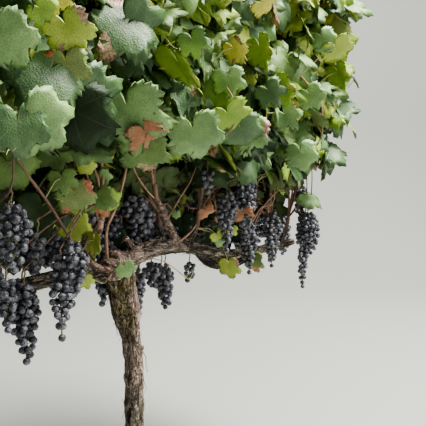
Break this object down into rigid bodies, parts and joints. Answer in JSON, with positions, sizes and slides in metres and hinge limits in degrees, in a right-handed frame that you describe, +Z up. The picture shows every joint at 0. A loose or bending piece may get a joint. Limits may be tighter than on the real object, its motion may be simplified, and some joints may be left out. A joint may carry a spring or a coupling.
{
  "type": "grapevine",
  "caption": "Grapevine trained along a row, with fissured trunk, gnarled head, spreading arms, a curled old spur, leafy upright shoots and hanging dark bunches",
  "frame": {"origin": "the centre of the flat cut under the trunk, at ground level", "axes": "+Z up; X along the row, the longer arm towards +X; -Y is the side that the picture looks at, from the left"},
  "size_m": [1.5166, 0.5183, 1.8596],
  "materials": {
    "bark": "grey-brown flaking bark with long fissures, tinted by moss below the head",
    "young_bark": "smooth reddish-brown bark of a younger limb",
    "foliage": "satin green leaves, duller below, with blue-black bloomed grapes and tan canes"
  },
  "bodies": {
    "root": {"trunk": "bark", "arm_right": "bark", "arm_left": "bark", "curled_spur": "young_bark", "foliage_front_1": "foliage", "foliage_front_2": "foliage", "foliage_front_3": "foliage", "foliage_front_4": "foliage", "foliage_front_5": "foliage", "foliage_front_6": "foliage", "foliage_back_1": "foliage", "foliage_back_2": "foliage", "foliage_back_3": "foliage", "foliage_back_4": "foliage", "foliage_back_5": "foliage"}
  },
  "joints": []
}
